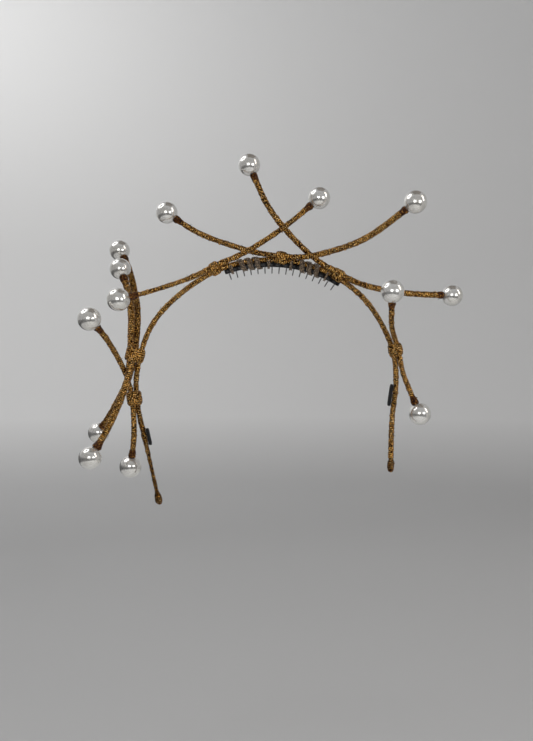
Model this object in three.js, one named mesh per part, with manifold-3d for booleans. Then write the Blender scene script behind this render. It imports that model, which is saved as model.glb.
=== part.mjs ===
// A crown-style headband: one wrapped wire arch, seven wrapped wire stems bound
// across it, a pearl on each stem end, and a comb lashed under the top.
// Millimetres, +Z up. The front of the crown faces -Y and the origin is the
// middle of the comb's underside, where the crown rests on the head.
import * as THREE from "three";
import { mergeVertices } from "three/addons/utils/BufferGeometryUtils.js";
import Module from "manifold-3d";

const wasm = await Module();
wasm.setup();

// ---------------------------------------------------------------- main sizes
const bandWidth = 164; // across the arch at its widest, cord centre to cord centre
const bandHeight = 150; // from the top of the arch to its lower end
const pearlDiameter = 14;
const wireDiameter = 1.6; // the bare wire inside every cord
const bandCord = 3.2; // wrapped thickness of the arch
const gap = 0.3; // left between pieces that touch

const combSpine = { depth: 2.2, height: 3, length: 78, teeth: 16 };
const combTooth = { length: 32, root: 1.5, tip: 0.8, rise: 0.14 };
const scalpRadius = 85; // the curve of the head under the comb teeth, front to back
const threadDiameter = 0.7; // the thread that lashes the comb
const boreDepth = 5; // how deep each pearl is drilled
const collarLength = 3.6; // glued end of the wrapping beside each pearl
const bindingWall = 1; // thickness wound over the cords at each binding

// ------------------------------------------------------------------ materials
const look = (color, roughness, metalness) =>
  new THREE.MeshStandardMaterial({ color, roughness, metalness });
const wrapped = () => look(0x96712f, 0.5, 0.55);
const glued = () => look(0x4a2d12, 0.35, 0.2);
const steel = () => look(0x8d8f90, 0.35, 1);
const nacre = () => look(0xe6e4de, 0.12, 0);
const black = () => look(0x121213, 0.4, 0);
const thread = () => look(0x6d5f4c, 0.6, 0.1);

// -------------------------------------------------------------------- helpers
const crown = new THREE.Group();

function addPiece(name, geometry, material) {
  const mesh = new THREE.Mesh(geometry, material);
  mesh.name = name;
  crown.add(mesh);
  return mesh;
}

// A point of the crown, widened and heightened with the two overall sizes.
function place([x, y, z]) {
  return new THREE.Vector3((x * bandWidth) / 164, y, (z * bandHeight) / 150);
}

// The stretch of a curve between two shares of its length.
class Stretch extends THREE.Curve {
  constructor(base, from, to) {
    super();
    Object.assign(this, { base, from, to });
  }
  getPoint(t, target = new THREE.Vector3()) {
    const share = this.from + (this.to - this.from) * t;
    return target.copy(this.base.getPointAt(share));
  }
}

// A many-sided outline, with an optional round hole through it.
function disc(diameter, sides, holeDiameter = 0) {
  const corners = (d, n) =>
    Array.from({ length: n }, (_, i) => {
      const a = (2 * Math.PI * i) / n;
      return new THREE.Vector2((d / 2) * Math.cos(a), (d / 2) * Math.sin(a));
    });
  const outline = new THREE.Shape(corners(diameter, sides));
  if (holeDiameter) outline.holes.push(new THREE.Path(corners(holeDiameter, 6)));
  return outline;
}

// A section swept along a curve, with a step about every stepLength.
function sweep(outline, curve, stepLength) {
  const steps = Math.max(2, Math.round(curve.getLength() / stepLength));
  return new THREE.ExtrudeGeometry(outline, { steps, extrudePath: curve, bevelEnabled: false });
}

// Turns a shape whose axis is +Y to point along a direction, and moves it.
function aim(geometry, direction, position) {
  const turn = new THREE.Quaternion().setFromUnitVectors(new THREE.Vector3(0, 1, 0), direction);
  return geometry.applyQuaternion(turn).translate(position.x, position.y, position.z);
}

function toSolid(geometry) {
  const bare = geometry.clone();
  bare.deleteAttribute("normal");
  bare.deleteAttribute("uv");
  const merged = mergeVertices(bare, 1e-4);
  return new wasm.Manifold(
    new wasm.Mesh({
      numProp: 3,
      vertProperties: merged.attributes.position.array,
      triVerts: new Uint32Array(merged.index.array),
    }),
  );
}

function toGeometry(solid) {
  const mesh = solid.getMesh();
  const geometry = new THREE.BufferGeometry();
  geometry.setAttribute("position", new THREE.BufferAttribute(mesh.vertProperties, 3));
  geometry.setIndex(new THREE.BufferAttribute(mesh.triVerts, 1));
  geometry.computeVertexNormals();
  return geometry;
}

// ------------------------------------------------------------------- the arch
// The arch leans as it is worn: one arm ends lower and further in than the other.
const arch = new THREE.CatmullRomCurve3(
  [
    [-68, 0, -148],
    [-77, 0, -108],
    [-82, 0, -84],
    [-81.5, 0, -63],
    [-70, 0, -32.5],
    [-34, 0, -3],
    [0, 0, 4.9],
    [33, 0, -0.7],
    [61, 0, -19],
    [78.5, 0, -48],
    [82, 0, -70],
    [79.5, 0, -95],
    [78.5, 0, -127.5],
  ].map(place),
);
arch.arcLengthDivisions = 400;
const archLength = arch.getLength();
const front = new THREE.Vector3(0, -1, 0);

// The direction away from the head, square to the arch, at a share of its length.
function outwardAt(share) {
  const along = arch.getTangentAt(share);
  return new THREE.Vector3(-along.z, 0, along.x).normalize();
}

// A point beside the arch: out from the head and round towards the front.
function besideArch(share, distance, turn) {
  const angle = THREE.MathUtils.degToRad(turn);
  return arch
    .getPointAt(share)
    .addScaledVector(outwardAt(share), distance * Math.cos(angle))
    .addScaledVector(front, distance * Math.sin(angle));
}

// The share of a curve's length at which it comes nearest to a point.
function nearestShare(curve, point) {
  let best = 0;
  let least = Infinity;
  for (let i = 0; i <= 600; i++) {
    const distance = curve.getPointAt(i / 600).distanceTo(point);
    if (distance < least) [best, least] = [i / 600, distance];
  }
  return best;
}

const coreHole = wireDiameter + 2 * gap + 0.35;
const endWrapShare = 7 / archLength; // the folded ends take this much of the arch

addPiece(
  "band_wire",
  sweep(disc(wireDiameter, 6), new Stretch(arch, endWrapShare * 0.4, 1 - endWrapShare * 0.4), 9),
  steel(),
);
addPiece(
  "band_cord",
  sweep(disc(bandCord, 8, coreHole), new Stretch(arch, endWrapShare, 1 - endWrapShare), 9),
  wrapped(),
);

// Where the wire is folded back, the wrapping swells into a teardrop.
for (const [side, start, tip] of [
  ["left", arch.getPointAt(endWrapShare), arch.getPointAt(0)],
  ["right", arch.getPointAt(1 - endWrapShare), arch.getPointAt(1)],
]) {
  const direction = tip.clone().sub(start).normalize();
  const length = start.distanceTo(tip) + 2;
  const bore = (wireDiameter + 2 * gap) / 2 + 0.05;
  const profile = [
    [0, length * 0.62],
    [bore, length * 0.62],
    [bore, gap],
    [bandCord / 2, gap],
    [bandCord * 0.64, length * 0.45],
    [bandCord * 0.62, length * 0.72],
    [bandCord * 0.4, length * 0.93],
    [0, length],
  ].map(([r, y]) => new THREE.Vector2(r, y));
  const shape = new THREE.LatheGeometry(profile, 10);
  addPiece("end_wrap_" + side, aim(shape, direction, start), wrapped());
}

// ------------------------------------------------------------------ the stems
// Each stem runs from one pearl, past its place on the arch, to the other pearl.
// bound: the place on the arch where it is held; turn: how far round to the front it
// sits; hold: the length of its binding. leadIn and leadOut are its bends just before and
// after the binding: how far along the arch from it, in hundredths of the arch's length,
// then how far out from the arch and how far forward of it, in millimetres.
const pearl6 = [-96.5, 20, 2]; // the upper pearl of stem 6, which stem 5 passes behind
const passing = new THREE.Vector3(3.7, 10, 2.5).normalize();
const passingRoom = 1.8;

function behindPearl(cord) {
  const distance = pearlDiameter / 2 + cord / 2 + passingRoom;
  return place(pearl6).addScaledVector(passing, distance);
}

// A listed point, or one that has been worked out already.
const spot = (point) => (point.isVector3 ? point : place(point));

const stems = [
  {
    id: "1", ends: ["left", "right"], cord: 3.2, bound: [8.8, 0, 4.2], turn: 48, hold: 7,
    first: [[-64, 6, 36], [-42, 3.5, 22]], leadIn: [-3.9, 5, 0.2],
    leadOut: [3.9, 4, 5.9], last: [[58.5, -15, 14.8], [89.5, -24, 36]],
  },
  {
    id: "2", ends: ["top", "right"], cord: 3.2, bound: [44.3, 0, -6.3], turn: 40, hold: 8,
    first: [[-11, 0, 65], [0.5, -3.5, 39], [11, -5.2, 24]], leadIn: [-4.2, 4.6, 2.6],
    leadOut: [3.9, 6, -2.6], last: [[90, 12, -14.8], [122.5, 20, -15.6]],
  },
  {
    id: "3", ends: ["top", "left"], cord: 3.2, bound: [-32, 0, -2.2], turn: 37, hold: 7.5,
    first: [[33.4, 0, 44], [10.5, -0.8, 25]], leadIn: [5.2, 5.4, 4],
    leadOut: [-3.9, 3.2, 5.6], last: [[-73, -17, -17.4], [-89, -24, -22.5]],
  },
  {
    id: "4", ends: ["upper", "lower"], cord: 3.2, bound: [80, 0, -52.4], turn: 25, hold: 11,
    first: [[75, -28, -18], [76.3, -17, -31]], leadIn: [-3.4, 3.2, 8],
    leadOut: [3.9, 4.6, 0.3], last: [[97, 0, -92.5]],
  },
  {
    id: "5", ends: ["upper", "lower"], cord: 3.5, bound: [-80, 0, -56], turn: 8, hold: 9,
    first: [[-100.3, 37, 17], behindPearl(3.5), [-87.3, 20, -12]], leadIn: [6, 14, -9.5],
    leadOut: [-3.9, 5.2, -0.5], last: [[-98, 12, -87.5], [-113, 30, -107]],
  },
  {
    id: "6", ends: ["upper", "lower"], cord: 3.8, bound: [-80, 0, -56], turn: 59, hold: 9, beside: "5",
    first: [pearl6, [-90.5, 13, -12]], leadIn: [5.7, 17, -4.6],
    leadOut: [-3.8, 3.8, 8.9], last: [[-96.6, -13, -98.5], [-107.5, -17, -118.5]],
  },
  {
    id: "7", ends: ["upper", "lower"], cord: 3.2, bound: [-82.2, 0, -82.5], turn: 44, hold: 9,
    first: [[-105, -30, -34.5], [-97.5, -19, -45.5]], leadIn: [3.7, 5.8, 4.6],
    leadOut: [-3.9, 4.2, 1.5], last: [[-84.6, 3, -110], [-87.5, 8, -127]],
  },
];

const stemStep = 6; // between the sections of a stem, the same for wire and wrapping
const tipWire = pearlDiameter / 2 - boreDepth + gap; // wire end, from the pearl's centre
const tipCord = pearlDiameter / 2 + gap + collarLength + gap; // cord end, likewise

// Profile of a pearl drilled from its top, turned about +Y.
function pearlProfile() {
  const radius = pearlDiameter / 2;
  const bore = wireDiameter / 2 + gap;
  const mouth = Math.asin(bore / radius);
  const rounds = 8;
  const profile = [];
  for (let i = 0; i <= rounds; i++) {
    const a = Math.PI - ((Math.PI - mouth) * i) / rounds;
    profile.push(new THREE.Vector2(i === 0 ? 0 : radius * Math.sin(a), radius * Math.cos(a)));
  }
  profile.push(new THREE.Vector2(bore, radius - boreDepth), new THREE.Vector2(0, radius - boreDepth));
  return profile;
}

// Profile of the glued, slightly flared end of the wrapping, hollow for the wire.
function collarProfile(cord) {
  const bore = wireDiameter / 2 + gap + 0.05;
  const wide = cord * 0.66;
  const radius = pearlDiameter / 2 + gap;
  const seat = (r) => Math.sqrt(radius * radius - r * r);
  const top = pearlDiameter / 2 + gap + collarLength;
  return [
    [bore, seat(bore)],
    [wide, seat(wide)],
    [wide, seat(wide) + collarLength * 0.35],
    [cord / 2, top],
    [bore, top],
    [bore, seat(bore)],
  ].map(([r, y]) => new THREE.Vector2(r, y));
}

for (const stem of stems) {
  const { id, ends, cord, turn } = stem;
  stem.share = nearestShare(arch, place(stem.bound));
  stem.site = besideArch(stem.share, (cord + bandCord) / 2 + gap, turn);
  if (stem.beside) {
    const partner = stems.find((other) => other.id === stem.beside);
    const spacing = (cord + partner.cord) / 2 + gap;
    const offset = besideArch(stem.share, spacing, turn).sub(arch.getPointAt(stem.share));
    stem.site = partner.site.clone().add(offset);
  }
  const lead = ([along, out, forward]) =>
    besideArch(stem.share + along / 100, out, 0).addScaledVector(front, forward);
  const bends = [
    ...stem.first.map(spot), lead(stem.leadIn), stem.site, lead(stem.leadOut), ...stem.last.map(spot),
  ];
  const path = new THREE.CatmullRomCurve3(bends);
  path.arcLengthDivisions = 400;
  stem.path = path;

  const length = path.getLength();
  const wire = new Stretch(path, tipWire / length, 1 - tipWire / length);
  const wrap = new Stretch(path, tipCord / length, 1 - tipCord / length);
  addPiece("stem_wire_" + id, sweep(disc(wireDiameter, 5), wire, stemStep), steel());
  addPiece("stem_cord_" + id, sweep(disc(cord, 8, coreHole), wrap, stemStep), wrapped());

  // A pearl and a collar on each end, lined up with the wire that enters them.
  ends.forEach((end, i) => {
    const at = (distance) => path.getPointAt(i === 0 ? distance / length : 1 - distance / length);
    const mouth = at(pearlDiameter / 2);
    const away = mouth.clone().sub(at(tipWire)).normalize();
    const centre = mouth.clone().addScaledVector(away, -pearlDiameter / 2);
    const name = id + "_" + end;
    const pearl = new THREE.LatheGeometry(pearlProfile(), 12);
    addPiece("pearl_" + name, aim(pearl, away, centre), nacre());
    const along = at(tipCord).sub(mouth).normalize();
    const seat = mouth.clone().addScaledVector(along, -pearlDiameter / 2);
    const collar = new THREE.LatheGeometry(collarProfile(cord), 8);
    addPiece("collar_" + name, aim(collar, along, seat), glued());
  });
}

// ------------------------------------------------------------------- the comb
// Its spine follows the arch on the head side; the teeth lie back over the scalp.
const spineDrop = bandCord / 2 + gap + combSpine.height / 2;

class BesideArch extends THREE.Curve {
  constructor(from, to, distance) {
    super();
    Object.assign(this, { from, to, distance });
  }
  getPoint(t, target = new THREE.Vector3()) {
    const share = this.from + (this.to - this.from) * t;
    return target.copy(besideArch(share, this.distance, 0));
  }
}

// The section of the spine, with its long edges taken off; spare fattens it all round.
// A curve in the X-Z plane sweeps a shape's x across the plane and its y along Y.
function spineOutline(spare) {
  const w = combSpine.height / 2 + spare;
  const h = combSpine.depth / 2 + spare;
  const c = 0.6;
  const corners = [
    [w, h - c], [w - c, h], [c - w, h], [-w, h - c],
    [-w, c - h], [c - w, -h], [w - c, -h], [w, c - h],
  ];
  return new THREE.Shape(corners.map(([x, y]) => new THREE.Vector2(x, y)));
}

const combFrom = nearestShare(arch, place([-27.5, 0, -0.2]));
const combTo = combFrom + combSpine.length / archLength;
const toothPitch = (combTo - combFrom) / combSpine.teeth;
let comb = toSolid(sweep(spineOutline(0), new BesideArch(combFrom, combTo, -spineDrop), 5));
for (let i = 0; i < combSpine.teeth; i++) {
  const share = combFrom + (i + 0.5) * toothPitch;
  const root = besideArch(share, -spineDrop, 0);
  const outward = outwardAt(share);
  const { length, tip, root: thick, rise } = combTooth;
  const tooth = new THREE.CylinderGeometry(tip / 2, thick / 2, length, 5, 3);
  tooth.translate(0, length / 2, 0);
  const spots = tooth.attributes.position;
  for (let k = 0; k < spots.count; k++) {
    const s = spots.getY(k);
    const lift = rise * s - (s * s) / (2 * scalpRadius);
    spots.setXYZ(k, spots.getX(k) + outward.x * lift, s, spots.getZ(k) + outward.z * lift);
  }
  tooth.translate(root.x, root.y + 0.3, root.z);
  comb = comb.add(toSolid(tooth));
}
addPiece("comb", toGeometry(comb), black());

// ---------------------------------------------------------- the comb's lashing
// Thread wound round the arch and the comb's spine, one turn between two teeth.
class Lashing extends THREE.Curve {
  constructor(from, turns) {
    super();
    Object.assign(this, { from, turns });
  }
  getPoint(t, target = new THREE.Vector3()) {
    const angle = 2 * Math.PI * this.turns * t; // 0 is at the back, between two teeth
    const share = this.from + toothPitch * this.turns * t;
    const clear = gap + threadDiameter / 2;
    const tall = (bandCord + gap + combSpine.height) / 2 + clear;
    const deep = bandCord / 2 + clear;
    const squared = (v) => Math.sign(v) * Math.abs(v) ** 0.6;
    const middle = bandCord / 2 + clear - tall;
    return target
      .copy(besideArch(share, middle + tall * squared(Math.sin(angle)), 0))
      .addScaledVector(front, -deep * squared(Math.cos(angle)));
  }
}

function lash(name, firstTooth, turns) {
  const path = new Lashing(combFrom + firstTooth * toothPitch, turns);
  path.arcLengthDivisions = 600;
  addPiece(name, sweep(disc(threadDiameter, 5), path, 1.9), thread());
}
// Each coil keeps clear of the stem that is bound over the middle of the comb.
const lashingRoom = 11.5;
const lashingTurns = 3;
const middleTooth = (stems[0].share - combFrom) / toothPitch;
const roomInTeeth = lashingRoom / archLength / toothPitch;
lash("comb_lashing_left", Math.floor(middleTooth - roomInTeeth) - lashingTurns, lashingTurns);
lash("comb_lashing_right", Math.ceil(middleTooth + roomInTeeth), lashingTurns);

// --------------------------------------------------------------- the bindings
// A barrel of wound cord round the arch and the stems that cross it there.
function bind(name, ids) {
  const here = stems.filter((stem) => ids.includes(stem.id));
  const { share, hold: length } = here[0];
  const axis = arch.getTangentAt(share);
  const centres = [arch.getPointAt(share), ...here.map((stem) => stem.site)];
  const widest = Math.max(bandCord, ...here.map((stem) => stem.cord));
  const last = centres[centres.length - 1];
  const across = last.clone().sub(centres[0]);
  const half = across.length() / 2 + widest / 2 + gap + bindingWall;
  const middle = centres.reduce((sum, c) => sum.add(c), new THREE.Vector3()).divideScalar(centres.length);
  // How far the cords lie from the line between the outer two decides the other half.
  const line = across.clone().normalize();
  const side = axis.clone().cross(line).normalize();
  const spread = Math.max(...centres.map((c) => Math.abs(c.clone().sub(middle).dot(side))));
  const other = spread + widest / 2 + gap + bindingWall;

  const profile = [[0, -0.5], [0.86, -0.5], [1, -0.2], [1, 0.2], [0.86, 0.5], [0, 0.5]].map(
    ([r, y]) => new THREE.Vector2(r, y * length),
  );
  const barrel = new THREE.LatheGeometry(profile, 12);
  const frame = new THREE.Matrix4().makeBasis(line.multiplyScalar(half), axis, side.multiplyScalar(-other));
  barrel.applyMatrix4(frame).translate(middle.x, middle.y, middle.z);
  let solid = toSolid(barrel);

  const fat = (cord) => disc((cord + 2.5 * gap) / Math.cos(Math.PI / 8), 8);
  const reach = length * 0.5 + 3;
  const through = (curve, at, cord) => {
    const part = reach / curve.getLength();
    return toSolid(sweep(fat(cord), new Stretch(curve, at - part, at + part), 3));
  };
  solid = solid.subtract(through(arch, share, bandCord));
  for (const stem of here) {
    solid = solid.subtract(through(stem.path, nearestShare(stem.path, stem.site), stem.cord));
  }
  // Over the comb the barrel's underside is relieved to bed down on the spine.
  const spare = gap / archLength;
  const relief = new BesideArch(combFrom - spare, combTo + spare, -spineDrop);
  solid = solid.subtract(toSolid(sweep(spineOutline(gap), relief, 5)));
  addPiece(name, toGeometry(solid), wrapped());
}

bind("binding_1", ["1"]);
bind("binding_2", ["2"]);
bind("binding_3", ["3"]);
bind("binding_4", ["4"]);
bind("binding_5_6", ["5", "6"]);
bind("binding_7", ["7"]);

// --------------------------------------------------------------- grip loops
// A short flat loop for a hair grip against the inside of each arm.
function gripLoop(name, middle, length) {
  const width = 5;
  const thick = 1.6;
  const slot = { length: length - 5, width: 1.8 };
  const share = nearestShare(arch, place(middle));
  const stadium = (Kind, l, w) => {
    const shape = new Kind();
    const straight = l / 2 - w / 2;
    shape.moveTo(-straight, -w / 2);
    shape.lineTo(straight, -w / 2);
    shape.absarc(straight, 0, w / 2, -Math.PI / 2, Math.PI / 2, false);
    shape.lineTo(-straight, w / 2);
    shape.absarc(-straight, 0, w / 2, Math.PI / 2, (3 * Math.PI) / 2, false);
    return shape;
  };
  const outline = stadium(THREE.Shape, length, width);
  outline.holes.push(stadium(THREE.Path, slot.length, slot.width));
  const options = { depth: thick, bevelEnabled: false, curveSegments: 4 };
  const loop = new THREE.ExtrudeGeometry(outline, options);
  const along = arch.getTangentAt(share);
  const outward = outwardAt(share);
  const frame = new THREE.Matrix4().makeBasis(along, outward.clone().cross(along), outward);
  // The arch bends towards the flat loop by this much at the loop's ends.
  const centre = arch.getPointAt(share);
  const bend = [-1, 1].map((way) => {
    const end = arch.getPointAt(share + (way * length) / 2 / archLength);
    return centre.clone().sub(end).dot(outward);
  });
  const seat = besideArch(share, -(bandCord / 2 + gap + thick + Math.max(0, ...bend)), 0);
  loop.applyMatrix4(frame).translate(seat.x, seat.y, seat.z);
  addPiece(name, loop, black());
}
gripLoop("grip_loop_left", [-77.2, 0, -107.5], 11);
gripLoop("grip_loop_right", [81, 0, -81], 14);

export default crown;
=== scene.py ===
# %% [markdown]
# A crown-style headband. A wire arch, closely wound with antique gold metallic thread, goes
# over the head, and seven curved stems of the same wound wire are bound across it. Every
# stem ends in a pearl, and a black comb is lashed under the top of the arch.
# The CAD model holds every piece as a plain solid. This script gives each one its real
# surface: thread that is really wound, nacre, glue, moulded plastic and woven elastic.

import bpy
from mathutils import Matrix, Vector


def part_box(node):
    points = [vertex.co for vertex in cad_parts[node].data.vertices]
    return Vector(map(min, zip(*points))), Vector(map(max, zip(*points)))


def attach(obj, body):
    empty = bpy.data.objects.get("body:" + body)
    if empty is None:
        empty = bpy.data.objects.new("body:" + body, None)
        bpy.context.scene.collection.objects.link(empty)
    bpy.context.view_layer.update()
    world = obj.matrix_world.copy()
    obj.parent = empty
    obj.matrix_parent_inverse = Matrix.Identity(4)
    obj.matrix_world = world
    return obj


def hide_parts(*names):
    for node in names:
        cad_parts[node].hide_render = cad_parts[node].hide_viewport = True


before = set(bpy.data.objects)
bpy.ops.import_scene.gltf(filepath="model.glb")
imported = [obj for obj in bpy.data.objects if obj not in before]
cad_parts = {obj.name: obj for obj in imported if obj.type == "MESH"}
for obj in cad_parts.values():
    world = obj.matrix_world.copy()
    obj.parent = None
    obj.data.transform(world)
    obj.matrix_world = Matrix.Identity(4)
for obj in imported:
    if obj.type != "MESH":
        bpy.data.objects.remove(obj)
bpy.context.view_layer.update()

# %% Packages and units
import math

import bpy
import numpy as np
from mathutils import Vector

MM = 0.001
TURN = 2 * math.pi
UP = np.array([0.0, 0.0, 1.0])
BACK = np.array([0.0, 1.0, 0.0])
STEMS = {
    "1": ("left", "right"),
    "2": ("top", "right"),
    "3": ("top", "left"),
    "4": ("upper", "lower"),
    "5": ("upper", "lower"),
    "6": ("upper", "lower"),
    "7": ("upper", "lower"),
}
print("stems:", len(STEMS), "pearls:", 2 * len(STEMS))

# %% [markdown]
# The camera comes first. It stands level in front of the crown, a little below the comb,
# close enough that the pearls that bend forward look larger than those that bend back. A
# longer lens from further off would make them all look alike, and the crown flat.

# %% Camera
EYE = (0.0, -469 * MM, -65.1 * MM)
camera_data = bpy.data.cameras.new("front_camera")
camera_data.lens = 36
camera_data.sensor_width = 36
camera_data.clip_start = 0.01
camera_data.clip_end = 30
camera = bpy.data.objects.new("front_camera", camera_data)
camera.location = EYE
camera.rotation_euler = (math.radians(90), 0, 0)
bpy.context.scene.collection.objects.link(camera)
bpy.context.scene.camera = camera
bpy.context.scene.view_settings.view_transform = "Standard"
print("camera", round(-EYE[1] / MM), "mm in front of the arch")

# %% [markdown]
# Every surface here is a grid of points worked out with numpy: a profile carried round an
# axis or along a line. One helper turns such grids into a mesh. It closes a grid round on
# itself, puts a cap on open ends, and turns the faces outward by the sign of the volume
# they enclose. The alternative, curves with a bevel, can't carry the turns of a thread.


# %% Grids of points become closed skins
counts = {}


def skin(points, uv=None, ring=False, capped=True, **values):
    """One closed surface from points[i, j], j running round the section.

    Corner lists are index arithmetic on the whole grid: each cell (i, j) has the corners
    (i, j), (i, j+1), (i+1, j+1), (i+1, j). ring closes the rows too; a cap is a fan of
    triangles to the mean of an end row. values are numbers carried by each point."""
    rows, cols = points.shape[:2]
    index = np.arange(rows * cols).reshape(rows, cols)
    index = np.hstack([index, index[:, :1]])
    place = np.arange(rows)[:, None], np.arange(cols + 1)[None, :]
    uv = uv if uv is not None else (place[1] / cols, place[0] / rows)
    flat = np.stack(np.broadcast_arrays(*uv), -1).astype(float)
    if ring:
        index = np.vstack([index, index[:1]])
        flat = np.vstack([flat, flat[-1:] + (flat[-1:] - flat[-2:-1])])
    cell = lambda a: np.stack([a[:-1, :-1], a[:-1, 1:], a[1:, 1:], a[1:, :-1]], 2)
    corners = cell(index).reshape(-1)
    corner_uv = cell(flat).reshape(-1, 2)
    totals = np.full(len(corners) // 4, 4)
    xyz = points.reshape(-1, 3)
    values = {k: np.broadcast_to(v, (rows, cols)).reshape(-1) for k, v in values.items()}
    if capped and not ring:
        for row, way in ((0, -1), (rows - 1, 1)):
            edge = index[row, ::way]
            tip = np.full(cols, len(xyz))
            fan = np.stack([edge[:-1], edge[1:], tip], 1)
            side = flat[row, ::way]
            fan_uv = np.stack([side[:-1], side[1:], (side[:-1] + side[1:]) / 2], 1)
            corners = np.concatenate([corners, fan.reshape(-1)])
            corner_uv = np.vstack([corner_uv, fan_uv.reshape(-1, 2)])
            totals = np.concatenate([totals, np.full(cols, 3)])
            xyz = np.vstack([xyz, points[row].mean(0)])
            values = {
                k: np.append(v, v.reshape(-1)[row * cols : (row + 1) * cols].mean())
                for k, v in values.items()
            }
    a, b, c, d = xyz[cell(index).transpose(2, 0, 1)]
    volume = (np.cross(b - a, c - a) + np.cross(c - a, d - a)) * (a - xyz.mean(0))
    if volume.sum() < 0:
        starts = np.concatenate([[0], np.cumsum(totals)[:-1]])
        owner = np.repeat(np.arange(len(totals)), totals)
        order = starts[owner] + totals[owner] - 1 - (np.arange(len(corners)) - starts[owner])
        corners, corner_uv = corners[order], corner_uv[order]
    return {"xyz": xyz, "corners": corners, "uv": corner_uv, "totals": totals, "values": values}


def make_piece(name, skins, material, replaces=()):
    """Joins skins into one mesh object at the origin. It stands for the CAD nodes that it
    replaces, or is part of the stage where it replaces none."""
    offsets = np.cumsum([0] + [len(s["xyz"]) for s in skins[:-1]])
    xyz = np.vstack([s["xyz"] for s in skins])
    corners = np.concatenate([s["corners"] + o for s, o in zip(skins, offsets)])
    totals = np.concatenate([s["totals"] for s in skins])
    mesh = bpy.data.meshes.new(name)
    mesh.vertices.add(len(xyz))
    mesh.vertices.foreach_set("co", xyz.astype(np.float32).ravel())
    mesh.loops.add(len(corners))
    mesh.loops.foreach_set("vertex_index", corners.astype(np.int32))
    mesh.polygons.add(len(totals))
    starts = np.concatenate([[0], np.cumsum(totals)[:-1]]).astype(np.int32)
    mesh.polygons.foreach_set("loop_start", starts)
    mesh.update(calc_edges=True)
    mesh.polygons.foreach_set("use_smooth", np.ones(len(totals), bool))
    layer = mesh.uv_layers.new(name="UVMap")
    uv = np.vstack([s["uv"] for s in skins]).astype(np.float32)
    layer.data.foreach_set("uv", uv.ravel())
    for key in skins[0]["values"]:
        data = np.concatenate([s["values"][key] for s in skins]).astype(np.float32)
        mesh.attributes.new(key, "FLOAT", "POINT").data.foreach_set("value", data)
    mesh.materials.append(material)
    piece = bpy.data.objects.new(name, mesh)
    bpy.context.scene.collection.objects.link(piece)
    if replaces:
        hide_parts(*replaces)
        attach(piece, "root")
    counts[name] = int((totals - 2).sum())
    return piece


print("grid helper ready")

# %% [markdown]
# A crown like this is all lines: the arch and the stems. The CAD solids were swept along
# those lines, section by section, so each solid still knows its own. Walking a solid from
# the section at one end, along the edges of its triangles, gives one level of points per
# section, and the mean of each level is a point of the line. This keeps the looks exactly
# where the CAD is, with no number copied from it.


# %% Reading lines back out of the CAD solids
def solid_of(node):
    """The points of a CAD node, merged, and its triangles."""
    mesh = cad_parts[node].data
    xyz = np.empty(len(mesh.vertices) * 3, np.float32)
    mesh.vertices.foreach_get("co", xyz)
    points, back = np.unique(xyz.reshape(-1, 3).round(7), axis=0, return_inverse=True)
    mesh.calc_loop_triangles()
    corners = np.empty(len(mesh.loop_triangles) * 3, np.int32)
    mesh.loop_triangles.foreach_get("vertices", corners)
    return points.astype(float), back.ravel()[corners].reshape(-1, 3)


def section_centres(node, section_points, near):
    """Centres of a swept solid's sections, from the end nearest to a point.

    Level 0 is the end section; level k+1 is whatever an edge joins to level k."""
    points, faces = solid_of(node)
    edges = np.vstack([faces[:, [0, 1]], faces[:, [1, 2]], faces[:, [2, 0]]])
    level = np.full(len(points), -1)
    level[np.argsort(np.linalg.norm(points - near, axis=1))[:section_points]] = 0
    step = 0
    while (level < 0).any():
        reached = edges[level[edges[:, 0]] == step][:, 1]
        step += 1
        level[reached[level[reached] < 0]] = step
    return np.stack([points[level == k].mean(0) for k in range(step + 1)])


def ball_of(node):
    """Centre and radius of a drilled ball: least squares on |p|² = 2 p·c + k."""
    points, _ = solid_of(node)
    kept = points
    for _ in range(4):
        table = np.hstack([2 * kept, np.ones((len(kept), 1))])
        centre = np.linalg.lstsq(table, (kept**2).sum(1), rcond=None)[0][:3]
        distance = np.linalg.norm(points - centre, axis=1)
        radius = np.median(distance)
        kept = points[np.abs(distance - radius) < 0.4 * MM]
    return centre, radius


class Line:
    """A smooth line through knots, measured by the distance along it.

    Between two knots b and c, with a before and d after, a point is
    (2b + (c-a)t + (2a-5b+4c-d)t² + (3b-3c+d-a)t³) / 2, t from 0 to 1. Each method takes
    one value or an array of them."""

    STEPS = 16  # between two knots
    REACH = 0.4 * MM  # the direction is measured over this much to each side

    def __init__(self, knots):
        knots = np.asarray(knots, float)
        ends = 2 * knots[0] - knots[1], 2 * knots[-1] - knots[-2]
        a, b, c, d = (np.vstack([ends[0], knots, ends[1]])[i : i + len(knots) - 1] for i in range(4))
        t = np.linspace(0, 1, self.STEPS + 1)[:-1, None, None]
        dense = (2 * b + (c - a) * t + (2 * a - 5 * b + 4 * c - d) * t**2
                 + (3 * b - 3 * c + d - a) * t**3) / 2
        self.points = np.vstack([dense.transpose(1, 0, 2).reshape(-1, 3), knots[-1]])
        steps = np.linalg.norm(np.diff(self.points, axis=0), axis=1)
        self.along = np.concatenate([[0], np.cumsum(steps)])
        self.length = self.along[-1]

    def at(self, s):
        """The point at a distance along the line."""
        return np.stack([np.interp(s, self.along, self.points[:, k]) for k in range(3)], -1)

    def axes(self, s):
        """Direction, outward and forward at a distance along the line, as unit vectors."""
        ahead = np.minimum(s + self.REACH, self.length)
        behind = np.maximum(s - self.REACH, 0)
        along = unit(self.at(ahead) - self.at(behind))
        out = unit(np.cross(along, BACK))
        return along, out, np.cross(along, out)

    def nearest(self, point):
        """The distance along the line of its point nearest to a point."""
        gap = np.linalg.norm(self.points - np.asarray(point)[..., None, :], axis=-1)
        return self.along[gap.argmin(-1)]


def unit(v):
    """A vector over its own length."""
    return v / np.linalg.norm(v, axis=-1, keepdims=True)


print("line helper ready")

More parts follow.
